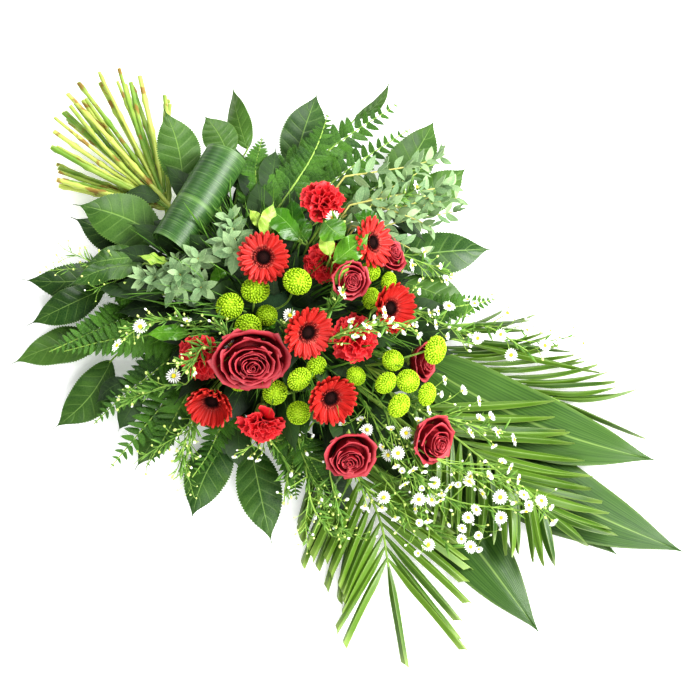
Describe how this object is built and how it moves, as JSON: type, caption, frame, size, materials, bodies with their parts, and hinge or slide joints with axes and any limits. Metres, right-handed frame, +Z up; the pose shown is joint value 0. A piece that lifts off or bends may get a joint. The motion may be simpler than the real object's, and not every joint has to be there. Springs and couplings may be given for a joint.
{
  "type": "casket spray",
  "caption": "Long funeral spray of red and lime green blooms, white filler and dark foliage in a foam tray, with a bunch of cut stems at one end.",
  "frame": {"origin": "middle of the tray's underside, on the surface that the spray lies on", "axes": "+X along the spray, from the cut stems to the far leaf tips; +Z up, out of the blooms; +Y to the left seen from the stems"},
  "size_m": [0.9303, 0.5983, 0.1849],
  "materials": {
    "tray": "moulded dark green plastic",
    "foam": "wet green floral foam, matt and grainy",
    "cut_stem": "yellow green cut stems, matt",
    "aspidistra_leaf": "smooth dark green leaf, satin",
    "gerbera_petal": "bright red petals, matt",
    "gerbera_disc": "almost black disc florets, velvety",
    "rose_petal": "dark red velvety petals",
    "carnation_petal": "red ruffled petals, matt",
    "santini": "lime green florets, matt",
    "broad_leaf": "dark green toothed leaf, slightly glossy",
    "bright_leaf": "bright green glossy leaf",
    "palm_leaf": "mid green ribbed leaflets, satin",
    "fern_leaf": "dark green fern, satin",
    "eucalyptus_leaf": "grey green bloomed leaves, matt",
    "aster": "white rays, yellow middles and thin green stalks"
  },
  "bodies": {
    "root": {"tray": "tray", "foam": "foam", "stem_bunch": "cut_stem", "rolled_leaf": "aspidistra_leaf", "gerbera_1": "gerbera_petal", "gerbera_2": "gerbera_petal", "gerbera_3": "gerbera_petal", "gerbera_4": "gerbera_petal", "gerbera_5": "gerbera_petal", "gerbera_6": "gerbera_petal", "gerbera_disc_1": "gerbera_disc", "gerbera_disc_2": "gerbera_disc", "gerbera_disc_3": "gerbera_disc", "gerbera_disc_4": "gerbera_disc", "gerbera_disc_5": "gerbera_disc", "gerbera_disc_6": "gerbera_disc", "rose_1": "rose_petal", "rose_2": "rose_petal", "rose_3": "rose_petal", "rose_4": "rose_petal", "rose_5": "rose_petal", "rose_6": "rose_petal", "carnation_1": "carnation_petal", "carnation_2": "carnation_petal", "carnation_3": "carnation_petal", "carnation_4": "carnation_petal", "carnation_5": "carnation_petal", "santini_spray_1": "santini", "santini_spray_2": "santini", "santini_spray_3": "santini", "santini_spray_4": "santini", "broad_leaf_twig_1": "broad_leaf", "broad_leaf_twig_2": "broad_leaf", "broad_leaf_twig_3": "broad_leaf", "broad_leaf_twig_4": "broad_leaf", "broad_leaf_twig_5": "broad_leaf", "broad_leaf_twig_6": "broad_leaf", "broad_leaf_twig_7": "broad_leaf", "broad_leaf_twig_8": "broad_leaf", "broad_leaf_twig_9": "broad_leaf", "bright_leaf_twig": "bright_leaf", "aspidistra_1": "aspidistra_leaf", "aspidistra_2": "aspidistra_leaf", "aspidistra_3": "aspidistra_leaf", "aspidistra_4": "aspidistra_leaf", "palm_1": "palm_leaf", "palm_2": "palm_leaf", "palm_3": "palm_leaf", "fern_1": "fern_leaf", "fern_2": "fern_leaf", "fern_3": "fern_leaf", "eucalyptus_1": "eucalyptus_leaf", "eucalyptus_2": "eucalyptus_leaf", "eucalyptus_3": "eucalyptus_leaf", "aster_spray_1": "aster", "aster_spray_2": "aster", "aster_spray_3": "aster", "aster_spray_4": "aster", "aster_spray_5": "aster", "aster_spray_6": "aster"}
  },
  "joints": []
}
